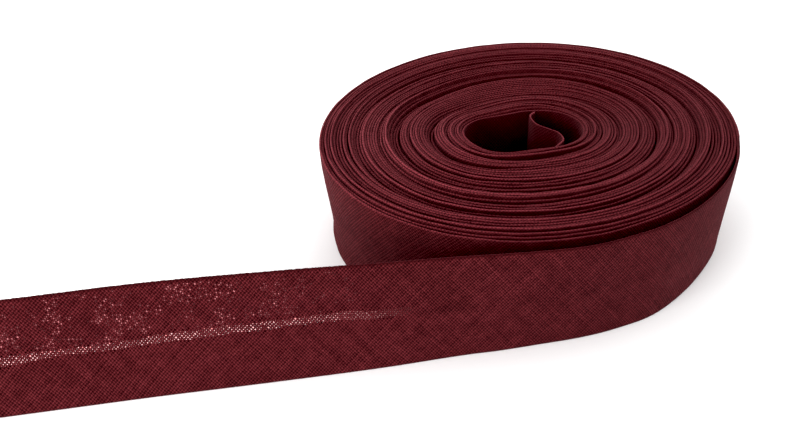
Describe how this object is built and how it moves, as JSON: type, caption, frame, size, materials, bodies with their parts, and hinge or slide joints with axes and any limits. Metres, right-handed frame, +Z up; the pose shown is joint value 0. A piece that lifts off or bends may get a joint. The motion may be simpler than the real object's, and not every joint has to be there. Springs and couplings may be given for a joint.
{
  "type": "roll of bias binding",
  "caption": "Roll of folded cotton bias binding stood on its edge, with an open oval eye, a loose inner end, and the outer turn run off as a straight standing tail.",
  "frame": {"origin": "under the middle of the whole object's box, on the surface that it stands on", "axes": "+X from the tail's cut end towards the roll, +Z up along the roll's axis, -Y towards the side that the loose turn is on"},
  "size_m": [0.1386, 0.0994, 0.0207],
  "materials": {
    "wound_cloth": "matt plain-weave cotton, cut on the bias, wine red, with the folded edges of the turns as fine rings",
    "tail_cloth": "matt plain-weave cotton, cut on the bias, wine red, slightly sheer along the middle where the folded edges don't meet",
    "inner_cloth": "matt plain-weave cotton, cut on the bias, wine red"
  },
  "bodies": {
    "root": {"wound_roll": "wound_cloth", "outer_tail": "tail_cloth", "inner_end": "inner_cloth"}
  },
  "joints": []
}
